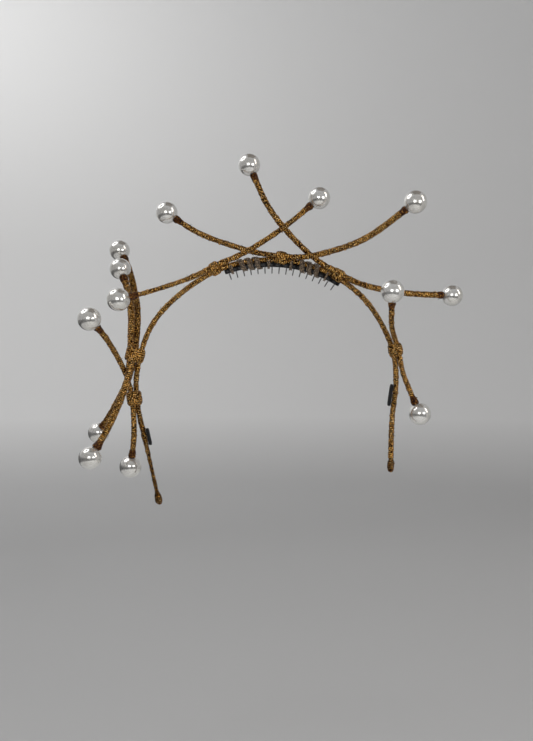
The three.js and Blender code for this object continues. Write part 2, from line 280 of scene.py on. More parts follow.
# %% The arch, the pearls and the stems as lines
CORD_SECTION = 14  # points in one section of a wrapped cord: outside and hole
left_tip = np.array(sum(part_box("end_wrap_left"), Vector()) / 2)
arch = Line(section_centres("band_cord", CORD_SECTION, left_tip))
balls = {}
stem_lines = {}
for stem, ends in STEMS.items():
    for end in ends:
        balls[stem, end] = ball_of(f"pearl_{stem}_{end}")
    start, _ = balls[stem, ends[0]]
    stem_lines[stem] = Line(section_centres(f"stem_cord_{stem}", CORD_SECTION, start))
print("arch", round(arch.length / MM, 1), "mm; stems",
      [round(line.length / MM) for line in stem_lines.values()], "mm")
print("pearl radius", round(balls["1", "left"][1] / MM, 3), "mm")


def thickness_of(node, line):
    """Twice the greatest distance of a swept solid's points from its line. Every fourth
    point of the line is enough, as they lie closer than a section."""
    points, _ = solid_of(node)
    near = line.points[None, ::4] - points[:, None]
    return 2 * np.linalg.norm(near, axis=2).min(1).max()


thick = {stem: thickness_of(f"stem_cord_{stem}", line) for stem, line in stem_lines.items()}
thick["arch"] = thickness_of("band_cord", arch)
print("cord thickness in mm:", {k: round(float(v / MM), 2) for k, v in thick.items()})


def carried(line, far, radius, angle):
    """Rings carried along a line: point = middle + radius · (cos a · outward + sin a ·
    forward), with one row for each distance and one column for each angle."""
    _, out, fore = line.axes(far)
    ring = np.cos(angle)[..., None] * out[:, None] + np.sin(angle)[..., None] * fore[:, None]
    return line.at(far)[:, None] + radius[..., None] * ring


def round_angles(cols):
    """Angles of one turn, in one row, without the last that would repeat the first."""
    return np.linspace(0, TURN, cols, endpoint=False)[None, :]

# %% [markdown]
# Nothing wound by hand is even. These two helpers give the unevenness: wobble is a slow,
# smooth wander and chance is a number from 0 to 1 for each whole number, such as the
# number of a turn. A seeded random generator would do too, but it deals its numbers in
# order. A formula can be asked for any turn by itself, and every run gives the same crown.


# %% Unevenness
def wobble(x, seed):
    """A sum of three sines of unrelated wavelengths and starts, from about -1 to 1."""
    start = np.array([1.7, 3.1, 4.6]) * (seed + 1.3)
    waves = [np.sin(x * k + p) * w for k, p, w in zip((1.0, 2.3, 4.9), start, (0.5, 0.3, 0.2))]
    return sum(waves)


def chance(number, seed):
    """The part after the point of sin(12.99 number + 78.23 seed) · 43758.5."""
    return np.mod(np.sin(number * 12.9898 + seed * 78.233) * 43758.5453, 1.0)


def ridge(turns):
    """Threads side by side: the half circle sqrt(1 - x²), x from -1 to 1 over each turn."""
    x = 2 * np.mod(turns, 1.0) - 1
    return np.sqrt(np.clip(1 - (0.98 * x) ** 2, 0, 1))


print("first chances:", np.round(chance(np.arange(4), 1), 2))

# %% [markdown]
# Materials are built from nodes. A small recipe class keeps each one short: it owns the
# shader, and its methods add a node and hand back the socket that carries the result.


# %% Recipe helper
class Recipe:
    """One material: a Principled shader, and the nodes that feed it."""

    def __init__(self, name):
        self.material = bpy.data.materials.new(name)
        self.material.use_nodes = True
        self.tree = self.material.node_tree
        self.tree.nodes.clear()
        self.shader = self.tree.nodes.new("ShaderNodeBsdfPrincipled")
        output = self.tree.nodes.new("ShaderNodeOutputMaterial")
        self.tree.links.new(self.shader.outputs[0], output.inputs[0])

    def add(self, kind, inputs=None, **settings):
        """A new node, with its inputs joined or set."""
        node = self.tree.nodes.new("ShaderNode" + kind)
        for key, value in settings.items():
            setattr(node, key, value)
        for key, value in (inputs or {}).items():
            self.put(node, key, value)
        return node

    def put(self, node, key, value):
        """Joins a socket to an input, or sets the input to a plain value."""
        if isinstance(value, bpy.types.NodeSocket):
            self.tree.links.new(value, node.inputs[key])
        else:
            node.inputs[key].default_value = value

    def set(self, **values):
        """Sockets of the shader, by name, with _ for a space."""
        for key, value in values.items():
            self.put(self.shader, key.replace("_", " "), value)

    def value(self, name):
        """A number that the mesh carries on each point."""
        return self.add("Attribute", attribute_name=name).outputs["Fac"]

    def calc(self, operation, a, b=0.0, c=0.0):
        """One sum on up to three values; MULTIPLY_ADD is a · b + c."""
        return self.add("Math", {0: a, 1: b, 2: c}, operation=operation).outputs[0]

    def spread(self, a, low, high, to_low=0.0, to_high=1.0):
        """A value from low..high moved to another range, and held inside it."""
        sizes = {"From Min": low, "From Max": high, "To Min": to_low, "To Max": to_high}
        return self.add("MapRange", {"Value": a, **sizes}).outputs["Result"]

    def noise(self, per_mm, detail=2.0, rough=0.5, stretch=None):
        """Noise on the object's own place, per_mm cells to a millimetre."""
        where = self.add("TexCoord").outputs["Object"]
        if stretch:
            where = self.add("Mapping", {"Vector": where, "Scale": stretch}).outputs[0]
        inputs = {"Vector": where, "Scale": per_mm / MM, "Detail": detail, "Roughness": rough}
        return self.add("TexNoise", inputs).outputs["Fac"]

    def laid(self, across, along):
        """A sine wave laid on the piece's own UV, which is in millimetres."""
        uv = self.add("TexCoord").outputs["UV"]
        ways = {0: uv, 1: (TURN * across, TURN * along, 0)}
        dot = self.add("VectorMath", ways, operation="DOT_PRODUCT").outputs["Value"]
        return self.calc("SINE", dot)

    def ramp(self, factor, *stops):
        """Colours at places from 0 to 1: (place, (red, green, blue)), ..."""
        node = self.add("ValToRGB", {"Fac": factor})
        elements = node.color_ramp.elements
        while len(elements) < len(stops):
            elements.new(0.5)
        for element, (place, colour) in zip(elements, stops):
            element.position = place
            element.color = (*colour, 1)
        return node.outputs["Color"]

    def mix(self, factor, a, b):
        """From colour a to colour b. A colour Mix node keeps them in sockets 0, 6 and 7."""
        return self.add("Mix", {0: factor, 6: a, 7: b}, data_type="RGBA").outputs[2]

    def bump(self, height, depth_mm, strength=1.0):
        """Small relief that the shading shows but the mesh doesn't have."""
        inputs = {"Height": height, "Distance": depth_mm * MM, "Strength": strength}
        self.set(Normal=self.add("Bump", inputs).outputs["Normal"])


print("recipe helper ready")

# %% [markdown]
# The studio: a pale floor that curves up into a wall all round, a large round softbox high
# on the left, two square windows in front, a tall strip on the right, and a lamp that
# brightens the wall at the upper left. Lamps alone would leave the pearls bare, because a
# pearl is a small mirror of the room. So cards stand round the crown where the camera
# doesn't see them. The dark and dim ones draw the dark band low on each pearl, the pale one
# its bright underside and the warm one a beige patch, and the boss hangs before the round
# softbox, so that its highlight is a ring.

# %% Sweep of floor and wall
FLOOR = -300 * MM
WALL_RADIUS = 1.6
WALL_TOP = 1.5
BEND = 0.55  # radius of the curve from floor to wall
FADE = 0.12  # height over which the floor's painted shade gives way to the wall's paler paper
PROFILE_STEPS = (12, 16, 7)  # points on the floor, the curve and the wall

paper = Recipe("studio_paper")
grain = paper.noise(0.6, 2.0)
where = paper.add("TexCoord").outputs["Object"]
high = paper.add("SeparateXYZ", {"Vector": where}).outputs["Z"]
# Painted shade: the paper is darker on the floor and turns lighter over FADE, up to the wall's
# colour.
shade = paper.calc("MULTIPLY_ADD", grain, 0.01, paper.spread(high, FLOOR, FLOOR + FADE))
paper.set(
    Base_Color=paper.ramp(shade, (0.0, (0.56, 0.56, 0.56)), (1.0, (0.80, 0.80, 0.798))),
    Roughness=0.9,
)
turn = round_angles(96)
on_floor, on_curve, on_wall = PROFILE_STEPS
flat_out = np.linspace(0.0005, WALL_RADIUS - BEND, on_floor)
rise = np.linspace(0, math.pi / 2, on_curve)[1:]
wall_up = np.linspace(FLOOR + BEND, WALL_TOP, on_wall)[1:]
across = np.concatenate(
    [flat_out, WALL_RADIUS - BEND + BEND * np.sin(rise), np.full_like(wall_up, WALL_RADIUS)]
)[:, None]
height = np.concatenate(
    [np.full_like(flat_out, FLOOR), FLOOR + BEND * (1 - np.cos(rise)), wall_up]
)[:, None]
sweep = np.stack(np.broadcast_arrays(across * np.cos(turn), across * np.sin(turn), height), -1)
make_piece("studio_sweep", [skin(sweep, capped=False)], paper.material)
print("floor at", FLOOR / MM, "mm, wall", WALL_RADIUS, "m away")


# %% Softboxes
def softbox(name, place, size, glow, shape="SQUARE", colour=(1, 1, 1), way=None):
    """An area light aimed at the crown, or along a given way. glow is its brightness, white
    paper being 1: the power of a flat lamp is glow · area · pi."""
    data = bpy.data.lights.new(name, "AREA")
    data.shape = shape
    data.size, data.size_y = size if isinstance(size, tuple) else (size, size)
    area = data.size * data.size_y * (math.pi / 4 if shape == "DISK" else 1)
    data.energy = glow * area * math.pi
    data.color = colour
    lamp = bpy.data.objects.new(name, data)
    lamp.location = place
    lamp.rotation_euler = (Vector(way) if way else -Vector(place)).to_track_quat("-Z", "Y").to_euler()
    lamp.visible_camera = False
    bpy.context.scene.collection.objects.link(lamp)


softbox("round_softbox", (-0.49, 0.02, 0.58), 0.54, 3.0, "DISK")
softbox("front_window", (-0.09, -0.64, -0.01), 0.25, 3.6)
softbox("right_window", (0.42, -0.51, -0.03), 0.25, 3.6)
softbox("right_strip", (1.12, -0.34, 0.55), (0.24, 0.80), 4.0, "RECTANGLE", (1, 0.93, 0.85))
softbox("wall_lamp", (-0.55, 0.55, 0.90), 0.34, 14.0, way=(-0.25, 0.95, -0.05))
world = bpy.data.worlds.new("studio_air")
world.use_nodes = True
air = world.node_tree.nodes["Background"]
air.inputs["Color"].default_value = (0.98, 0.985, 1.0, 1)
air.inputs["Strength"].default_value = 0.37
bpy.context.scene.world = world


# %% Cards that only mirrors see
def card(name, points, colour):
    """A thin card, hidden from the camera and from diffuse light, which casts no shadow. It
    shows only in what mirrors it. Its paper is uneven by 6% each way."""
    recipe = Recipe(name)
    dim, pale = (tuple(c * share for c in colour) for share in (0.94, 1.06))
    recipe.set(
        Base_Color=recipe.ramp(recipe.noise(0.01), (0.3, dim), (0.7, pale)), Roughness=1.0
    )
    piece = make_piece(name, [skin(points)], recipe.material)
    piece.visible_camera = piece.visible_shadow = piece.visible_diffuse = False
    return piece


CARD = 4 * MM  # how thick a card is


def disc_points(middle, across, sides=28):
    """Two rims, a card's thickness apart, of a disc that faces the crown."""
    middle = np.array(middle)
    inward = unit(-middle)
    sideways = unit(np.cross(inward, BACK))
    turn = round_angles(sides).T
    rim = across / 2 * (np.cos(turn) * sideways + np.sin(turn) * np.cross(sideways, inward))
    return np.stack([middle + rim, middle + rim - CARD * inward])


def band_points(radius, from_deg, to_deg, low, high, columns=40):
    """A strip of a cylinder round the crown; 0 degrees is the front, 90 is the right."""
    angle = np.radians(np.linspace(from_deg, to_deg, columns))[:, None]
    loop = np.array([[0, low], [0, high], [0.01, high], [0.01, low]])
    out = radius + loop[None, :, 0]
    tall = np.broadcast_to(loop[None, :, 1], out.shape[:1] + (4,))
    return np.stack([out * np.sin(angle), -out * np.cos(angle), tall + 0 * angle], -1)


# A lamp is drawn in a mirror by shadow rays too, so the boss has to stop those.
boss = card("softbox_boss", disc_points((-0.47, 0.02, 0.555), 0.27), (0.20, 0.20, 0.20))
boss.visible_shadow = True
BAND_RADIUS = 0.50
BAND_EDGES = (FLOOR + 0.01, -0.12, -0.07)
dark_band, dim_band = (
    band_points(BAND_RADIUS, -150, 60, low, high) for low, high in zip(BAND_EDGES, BAND_EDGES[1:])
)
card("dark_card", dark_band, (0.02, 0.02, 0.021))
card("dim_card", dim_band, (0.20, 0.20, 0.20))
card("pale_card", disc_points((0.0, 0.0, FLOOR + 0.03), 0.80, 48), (0.84, 0.84, 0.83))
slab = np.array([[-0.42, -0.62, 0], [0.42, -0.62, 0], [0.42, 0.62, 0], [-0.42, 0.62, 0]])
overhead = np.array([0.24, 0.18, 1.02]) + np.stack([slab, slab + 0.005 * UP])
card("warm_card", overhead, (0.19, 0.145, 0.105))
print("cards: boss, dark, dim, pale, warm")

# %% [markdown]
# The thread. It is a metallic film thread, wound so closely that each turn touches the
# next. Noise on a smooth tube would glitter in the right colours but never show a turn, so
# two things are told apart here. The turns are real geometry, with their height kept on
# each point as "crest" and a number for each turn as "turn". The colour is painted darker
# in the valleys between turns and lighter on their crests, which is painted shade. The
# twist inside a thread is too fine for a mesh, so it is a wave half a millimetre long in
# the material, laid on the cord's own UV, which is measured in millimetres. Film folds and
# tarnishes unevenly, which is the mottle. At random spots on the crests the colour is
# painted pale gold, which is a painted highlight, and the film is smoother there.

# %% Antique gold thread
gold = Recipe("antique_gold_thread")
crest = gold.value("crest")
turn_tone = gold.value("turn")
ply = gold.laid(1.7, 1.1)
mottle = gold.noise(1.45, 2.0, 0.6)
patch = gold.noise(0.28, 1.0)
spark = gold.noise(1.7, 1.0, 0.5)
# Painted shade: the film is darker in the valleys between turns and lighter on their crests.
tone = gold.spread(crest, 0.50, 1.0, -0.42, 0.42)
tone = gold.calc("MULTIPLY_ADD", ply, 0.07, tone)
tone = gold.calc("MULTIPLY_ADD", turn_tone, 0.22, tone)
tone = gold.calc("ADD", tone, gold.spread(patch, 0.35, 0.65, -0.04, 0.04))
tone = gold.calc("ADD", tone, gold.spread(mottle, 0.42, 0.61, -0.66, 0.66))
film = gold.ramp(
    tone,
    (0.02, (0.005, 0.0015, 0.0002)),
    (0.24, (0.038, 0.009, 0.0008)),
    (0.46, (0.190, 0.058, 0.005)),
    (0.70, (0.550, 0.205, 0.025)),
    (0.95, (1.000, 0.590, 0.150)),
)
# Painted highlight: the film's colour is mixed to pale gold at random spots on the crests, which are
# also smoother.
painted_glint = gold.calc("MULTIPLY", gold.spread(spark, 0.58, 0.67), gold.spread(crest, 0.45, 0.9))
gold.set(
    Base_Color=gold.mix(painted_glint, film, (1.0, 0.70, 0.32, 1)),
    Metallic=0.90,
    Roughness=gold.spread(gold.calc("ADD", painted_glint, mottle), 0.3, 1.3, 0.50, 0.20),
    Specular_IOR_Level=0.15,
)
gold.bump(gold.calc("ADD", gold.calc("MULTIPLY", ply, 0.5), spark), 0.06, 0.9)
print("material:", gold.material.name)

# %% [markdown]
# The cords. A tube would look like pipe, and a separate helix of thread would show a gap
# wherever two turns part. So the surface is worked out as turns of thread: the radius
# depends on how far round and how far along a point is, which is exactly what a helix is.
# The row spacing gives about seven rows to a turn, enough to draw it round.

# %% Wound cords
THREAD_PITCH = 1.15 * MM
THREAD_DEPTH = 0.40 * MM
TURN_PLAY = 0.30 * MM  # how unlike two turns are in height
STRAY_EVERY = 7.3 * MM
STRAY_HEIGHT = 0.32 * MM
ROW = 0.16 * MM
AROUND = 20


def crossing(turns, width):
    """A stray thread lying across the others: a narrow bell around turns = whole number."""
    off = np.abs(np.mod(turns + 0.5, 1.0) - 0.5)
    return np.exp(-((off / width) ** 2))


def wound_tube(line, start, stop, thickness, seed, shape, shade):
    """Thread wound along a line, from one distance to another. shape and shade are
    functions of the share of the way: half the thickness, and how bright the film is.

    turns = along / pitch + angle / full turn, so a ridge moves one pitch on each time round.
    radius = half the thickness + depth · (ridge - 0.7) + a little for each turn, and more
    where a stray thread crosses the others."""
    rows = int(round((stop - start) / ROW)) + 1
    along = np.linspace(start, stop, rows)[:, None]
    angle = round_angles(AROUND)
    drift = 0.45 * wobble(along / (6 * MM), seed)
    drift = drift + 0.10 * wobble(along / MM + 2 * np.cos(angle), seed + 5)
    turns = along / THREAD_PITCH + angle / TURN + drift
    height = ridge(turns)
    own = chance(np.floor(turns), seed)
    path = along / STRAY_EVERY - angle / TURN + wobble(along / (9 * MM), seed + 2)
    stray = crossing(path, 0.055) * (wobble(along / (11 * MM), seed + 9) > -0.1)
    lift = THREAD_DEPTH * (height - 0.7) + TURN_PLAY * (own - 0.5) + STRAY_HEIGHT * stray
    share = (along - start) / (stop - start)
    bright = shade(share)
    points = carried(line, along[:, 0], shape(share) + lift, angle)
    lap = np.linspace(0, TURN, AROUND + 1)[None, :]
    uv = (lap * thickness / 2 / MM, np.broadcast_to(along / MM, (rows, 1)))
    return skin(points, uv, crest=np.maximum(height, stray) * bright, turn=own * bright)


# How full each winding is at its start, middle and end: wound by hand, none is even. The
# arch also thins towards its left end, where fewer turns were wound, and painted shade
# darkens its film there.
STEM_SHARES = (0.0, 0.5, 1.0)
ARCH_SHARES = (0.0, 0.05, 0.10, 0.5, 1.0)
FULLNESS = {
    "arch": (0.70, 0.76, 1.0, 1.02, 1.04),
    "1": (1.04, 1.04, 1.24),
    "2": (1.14, 1.06, 1.20),
    "3": (1.06, 1.04, 0.84),
    "4": (1.0, 1.0, 1.0),
    "5": (1.14, 1.14, 1.04),
    "6": (1.10, 1.14, 1.04),
    "7": (1.0, 1.0, 1.04),
}
# Painted shade on the arch's left end: the film's tone is scaled by these levels, lowest at the tip.
PAINTED_SHADE_SHARES = (0.0, 0.12, 0.17)
PAINTED_SHADE_LEVELS = (0.84, 0.88, 1.0)


def taper(line, thickness, cols=6, rows=9):
    """A thin round taper along a line: radius = half thickness · (1 - 0.8 share²)."""
    share = np.linspace(0, 1, rows)
    radius = thickness / 2 * (1 - 0.8 * share[:, None] ** 2)
    points = carried(line, share * line.length, radius, round_angles(cols))
    return skin(points, crest=0.3, turn=0.2)


FIBRE = 0.22 * MM


def fibres(line, thickness, seed, every=9 * MM):
    """Broken ends of film standing out of a cord, one about every 9 mm: each leaves the
    surface at an angle, leans along the cord and is 0.8 to 2 mm long."""
    made = []
    for k in range(int(line.length / every)):
        a, b, c = chance(np.array([3.0, 5.0, 8.0]) * (k + 1), seed)
        s = (k + 0.2 + 0.6 * a) * every
        along, out, fore = line.axes(s)
        outward = np.cos(TURN * b) * out + np.sin(TURN * b) * fore
        root = line.at(s) + outward * 0.44 * thickness
        lean = unit(outward + (1.6 * c - 0.8) * along)
        reach = (0.8 + 1.2 * c) * MM
        knots = [root, root + lean * reach * 0.5, root + unit(lean + 0.5 * along) * reach]
        made.append(taper(Line(knots), FIBRE, cols=5, rows=6))
    return made


def cord(name, line, cord_name, seed, node, shares, shade):
    """A whole winding, as full as FULLNESS says, with its loose fibres."""
    thickness = thick[cord_name]
    shape = lambda share: thickness / 2 * np.interp(share, shares, FULLNESS[cord_name])
    tube = wound_tube(line, 0, line.length, thickness, seed, shape, shade)
    loose = fibres(line, thickness, seed)
    make_piece(name, [tube] + loose, gold.material, [node])


# The stems' film is left as it is; the arch's film is darkened towards its left end, which is painted
# shade.
unshaded = lambda share: 1.0
painted_shade = lambda share: np.interp(share, PAINTED_SHADE_SHARES, PAINTED_SHADE_LEVELS)
cord("arch_winding", arch, "arch", 3, "band_cord", ARCH_SHARES, painted_shade)
for number, (stem, line) in enumerate(stem_lines.items()):
    node = f"stem_cord_{stem}"
    cord(f"stem_winding_{stem}", line, stem, 11 + number, node, STEM_SHARES, unshaded)
print("wound cords:", {k: v for k, v in counts.items() if "winding" in k})

# %% [markdown]
# At each end of the arch the wire is folded back on itself and wound over, which makes a
# drop-shaped tip. A bead would have the outline but not the turns. It is the same thread,
# so it is the same surface, with a thickness that swells and then closes.

# %% Drop-shaped tips
TIP_SHARES = (0, 0.12, 0.30, 0.55, 0.82, 0.95, 1.0)
TIP_WIDTHS = (0.40, 0.44, 0.62, 0.72, 0.62, 0.36, 0.06)  # radius, in cord thicknesses
dull = lambda share: 0.8
for side, near, seed in (("left", 0.0, 41), ("right", arch.length, 42)):
    node = f"end_wrap_{side}"
    points, _ = solid_of(node)
    start = arch.at(near)
    far = points[np.argmax(np.linalg.norm(points - start, axis=1))]
    tip_line = Line([start + (far - start) * share for share in (0, 0.5, 1)])
    swell = lambda share: np.interp(share, TIP_SHARES, TIP_WIDTHS) * thick["arch"]
    tip = wound_tube(tip_line, 0, tip_line.length, thick["arch"], seed, swell, dull)
    make_piece(f"arch_tip_{side}", [tip], gold.material, [node])
print("tip length", round(tip_line.length / MM, 1), "mm")

# %% [markdown]
# The bindings. Where a stem crosses the arch, a bulge of thread holds the two together.
# Its section is a loop pulled tight round two or three cords. Metaballs would swell round
# the cords without lying flat between them. The support formula gives the tight loop at
# once: in each direction it is as far out as the furthest cord, and a soft maximum instead
# of a hard one rounds its corners. Thread turns are laid over it in two layers that cross,
# which gives the knobbly, woven look.

# %% Bindings
SOFTNESS = 0.45 * MM
BINDING_ROW = 0.11 * MM
LINING_ROWS = 8  # rows that close the sleeve on its inside
LINING = -0.12 * MM  # its lift: a little inside the tight loop
BINDINGS = {"1": "1", "2": "2", "3": "3", "4": "4", "5_6": "56", "7": "7"}
# Of each binding: its share of the room on the arch, its wall in mm, and how much painted light
# brightens it.
BINDING_LOOKS = {
    "1": (1.0, 1.20, 0.55), "2": (0.92, 0.95, 0.10), "3": (0.80, 1.05, 0.50),
    "4": (0.72, 1.15, 0.0), "5_6": (1.0, 1.05, 0.0), "7": (1.05, 1.60, 0.0),
}


def loop_round(centres, radii, angle):
    """A tight loop round circles. With n the direction at an angle, t square to it, and
    w the shares exp((c·n + r) / soft) summed to 1: reach h = soft · log(sum of exp),
    point = h n + (sum of w c·t) t."""
    n = np.stack([np.cos(angle), np.sin(angle)], -1)
    t = np.stack([-np.sin(angle), np.cos(angle)], -1)
    power = (n @ centres.T + radii) / SOFTNESS
    reach = SOFTNESS * np.log(np.exp(power).sum(-1))
    share = np.exp(power) / np.exp(power).sum(-1, keepdims=True)
    return reach[:, None] * n + ((t @ centres.T) * share).sum(-1)[:, None] * t, n


def wound_binding(name, members, seed, cols=112):
    """A sleeve of thread round the arch and the stems that it holds.

    Its surface is the tight loop plus a lift along the loop's normal: a belly, which is
    full in the middle and closes at both ends, with the higher of two layers of turns."""
    points, _ = solid_of(f"binding_{name}")
    s = arch.nearest((points.min(0) + points.max(0)) / 2)
    axis, out, fore = arch.axes(s)
    reach = (points - arch.at(s)) @ axis
    room, wall, bright = BINDING_LOOKS[name]
    low, high = (reach.min() + reach.max()) / 2 + np.array([-0.5, 0.5]) * room * np.ptp(reach)
    centres, radii = [np.zeros(2)], [thick["arch"] / 2]
    for stem in members:
        line = stem_lines[stem]
        at = line.at(line.nearest(arch.at(s) + axis * (low + high) / 2)) - arch.at(s)
        centres.append(np.array([at @ out, at @ fore]))
        radii.append(thick[stem] / 2)
    angle = round_angles(cols)[0]
    outline, normal = loop_round(np.array(centres), np.array(radii), angle)
    rows = int((high - low) / BINDING_ROW)
    share = np.linspace(0, 1, rows)[:, None]
    x = 2 * share - 1
    belly = np.sqrt(np.clip(1 - np.abs(x) ** 5, 0, 1)) * (0.88 + 0.22 * (1 - x**2))
    lap = angle[None, :] / TURN
    far = share * (high - low)
    first = far / (0.95 * MM) + lap + 0.5 * wobble(lap * TURN * 2 + far / MM, seed)
    second = far / (1.15 * MM) - 2 * lap + 0.4 * wobble(lap * TURN * 3, seed + 3)
    over = (wobble(lap * TURN * 3 + far / (0.8 * MM), seed + 6) > 0.05) * 1.0
    height = np.maximum(ridge(first) * (1 - 0.5 * over), ridge(second) * over)
    own = chance(np.floor(first) + 7 * over, seed)
    lift = wall * MM * belly + belly * (0.34 * MM * (height - 0.85) + 0.20 * MM * (own - 0.5))
    lift = lift + belly * 0.22 * MM * wobble(3 * lap * TURN + far / (1.6 * MM), seed + 1)
    inner = np.linspace(1, 0, LINING_ROWS + 2)[1:-1, None]
    lift = np.vstack([lift, np.full((LINING_ROWS, cols), LINING)])
    place = np.vstack([share, inner]) * (high - low) + low
    flat = outline[None] + lift[..., None] * normal[None]
    xyz = arch.at(s) + place[..., None] * axis + flat[..., :1] * out + flat[..., 1:] * fore
    zero = np.zeros((LINING_ROWS, cols))
    lap_uv = np.linspace(0, 1, cols + 1)[None, :] * 4.5 * TURN
    # Painted light: the binding's brightness is added to each turn's random tone, so some bindings
    # are painted lighter all over.
    sleeve = skin(xyz, (lap_uv, place / MM), ring=True,
                  crest=np.vstack([height, zero]), turn=np.vstack([own + bright, zero]))
    make_piece(f"binding_winding_{name}", [sleeve], gold.material, [f"binding_{name}"])


for number, (name, members) in enumerate(BINDINGS.items()):
    wound_binding(name, members, 61 + number)
print("bindings:", len(BINDINGS))

# %% [markdown]
# Beside each pearl the wrapping ends. It is soaked in glue, so it is darker, wider and
# shinier than the rest, with the turns half drowned and a few cut ends standing out. Hair
# particles could give the ends, but in a mesh they would be lines without thickness. So the
# glue is a body of revolution with lumps, and each cut end is a thin curved taper.

# %% Glued thread
glue = Recipe("glued_thread")
glue_crest = glue.value("crest")
blotch = glue.noise(1.15, 2.0, 0.6)
blotched = glue.spread(blotch, 0.36, 0.66, -0.30, 0.62)
# Painted shade: the glued turns are darker in their valleys and lighter on their crests.
glue_tone = glue.calc("MULTIPLY_ADD", glue_crest, 0.42, blotched)
glue.set(
    Base_Color=glue.ramp(
        glue_tone,
        (0.10, (0.010, 0.002, 0.0004)),
        (0.45, (0.050, 0.014, 0.002)),
        (0.75, (0.130, 0.044, 0.007)),
        (1.00, (0.560, 0.270, 0.060)),
    ),
    Metallic=0.35,
    Roughness=glue.spread(blotch, 0.3, 0.7, 0.30, 0.55),
    Specular_IOR_Level=0.15,
    Coat_Weight=0.06,
    Coat_Roughness=0.10,
)
glue.bump(glue.noise(2.0, 2.0), 0.08, 0.7)
print("material:", glue.material.name)


# %% Thread ends
COLLAR_SHARES = (0, 0.12, 0.35, 0.6, 0.85, 1.0)
COLLAR_WIDTHS = (0.70, 0.76, 0.70, 0.62, 0.57, 0.48)  # radius, in cord thicknesses
GLUED_PITCH = 0.62 * MM
CUT_ENDS = 3
# Long single ends at two pearls: how long in mm, and the way they set out.
SPIKES = {("5", "upper"): (3.9, (0.25, 0.0, 1.0)), ("7", "upper"): (1.6, (0.4, -0.3, 0.5))}


def cut_end(axis_line, away, thickness, pick):
    """A thin taper that leaves the glue at a random place and leans along the cord.
    pick is four chances: how far round, how far along, how long and how much it leans."""
    around, base_at = TURN * pick[0], (0.15 + 0.6 * pick[1]) * axis_line.length
    _, out, fore = axis_line.axes(base_at)
    sideways = np.cos(around) * out + np.sin(around) * fore
    reach = (0.8 + 1.1 * pick[2]) * MM
    root = axis_line.at(base_at) + sideways * 0.5 * thickness
    lean = unit(sideways + 0.9 * (pick[3] - 0.3) * away)
    curl = lean + 0.5 * away * (pick[3] - 0.5)
    knots = [root, root + lean * reach * 0.5, root + curl * reach]
    return taper(Line(knots), (0.26 + 0.2 * pick[1]) * MM)


def thread_end(stem, end, number, cols=44, rows=40):
    """The glued wrapping between a pearl and its cord, with its cut ends: a body of
    revolution whose radius is a soft profile + lumps + low turns."""
    centre, radius = balls[stem, end]
    line = stem_lines[stem]
    first = end == STEMS[stem][0]
    cord_end = line.at(0.0 if first else line.length)
    under = line.at(1.3 * MM if first else line.length - 1.3 * MM)
    away = unit(cord_end - centre)
    seat = centre + away * (radius - 0.25 * MM)
    axis_line = Line([seat, (seat + cord_end) / 2, cord_end, under])
    share = np.linspace(0, 1, rows)[:, None]
    angle = round_angles(cols)
    far = share * axis_line.length
    height = ridge(far / GLUED_PITCH + angle / TURN + 0.6 * wobble(angle + far / MM, number))
    width = np.interp(share, COLLAR_SHARES, COLLAR_WIDTHS) * thick[stem]
    lumps = 0.22 * MM * wobble(2 * angle + far / (0.9 * MM), number)
    lumps = lumps + 0.12 * MM * wobble(5 * angle - far / (0.5 * MM), number + 4)
    fade = np.sin(math.pi * np.clip(share * 1.05, 0, 1)) ** 0.4
    wide = width + (lumps + 0.10 * MM * (height - 0.5)) * fade
    skins = [skin(carried(axis_line, far[:, 0], wide, angle), crest=height)]
    for k in range(CUT_ENDS):
        pick = chance(np.array([1.0, 2.0, 3.0, 4.0]) + 10 * k, number)
        skins.append(cut_end(axis_line, away, thick[stem], pick))
    if (stem, end) in SPIKES:
        length, way = SPIKES[stem, end]
        root = cord_end + unit(np.array([1.0, -0.4, 0.0])) * 0.42 * thick[stem]
        middle = root + unit(np.array(way)) * length * MM / 2
        tip = root + np.array([-0.1, 0, 1.0]) * length * MM
        skins.append(taper(Line([root, middle, tip]), 0.5 * MM))
    name = f"{stem}_{end}"
    make_piece(f"thread_end_{name}", skins, glue.material, [f"collar_{name}"])


for number, (stem, end) in enumerate(balls):
    thread_end(stem, end, 80 + number)
print("thread ends:", len(balls))

# %% [markdown]
# The pearls are imitation pearls: a ball with many thin coats of pearl lacquer. The lacquer
# mirrors the room softly over a pale, slightly warm body, under a thin clear coat. A ready
# made sphere has no hole for the wire, so the ball is turned from a profile that runs from
# the far pole to the mouth of the drilled hole and down into it.

# %% Pearl lacquer
nacre = Recipe("pearl_lacquer")
cloud = nacre.noise(0.16, 2.0, 0.5)
nacre.set(
    Base_Color=nacre.ramp(cloud, (0.35, (0.80, 0.78, 0.735)), (0.65, (0.87, 0.86, 0.835))),
    Metallic=0.72,
    Roughness=nacre.spread(cloud, 0.3, 0.7, 0.15, 0.19),
    Coat_Weight=1.0,
    Coat_Roughness=0.03,
    Coat_IOR=1.55,
)
nacre.bump(nacre.noise(0.5, 3.0), 0.01, 0.25)
print("material:", nacre.material.name)

# %% Pearls
HOLE = 1.15 * MM  # radius of the drilled hole
DRILL_DEPTH = 5 * MM
POLE = 0.03  # radians left open at the pole, which the cap closes
LIP = 0.12 * MM


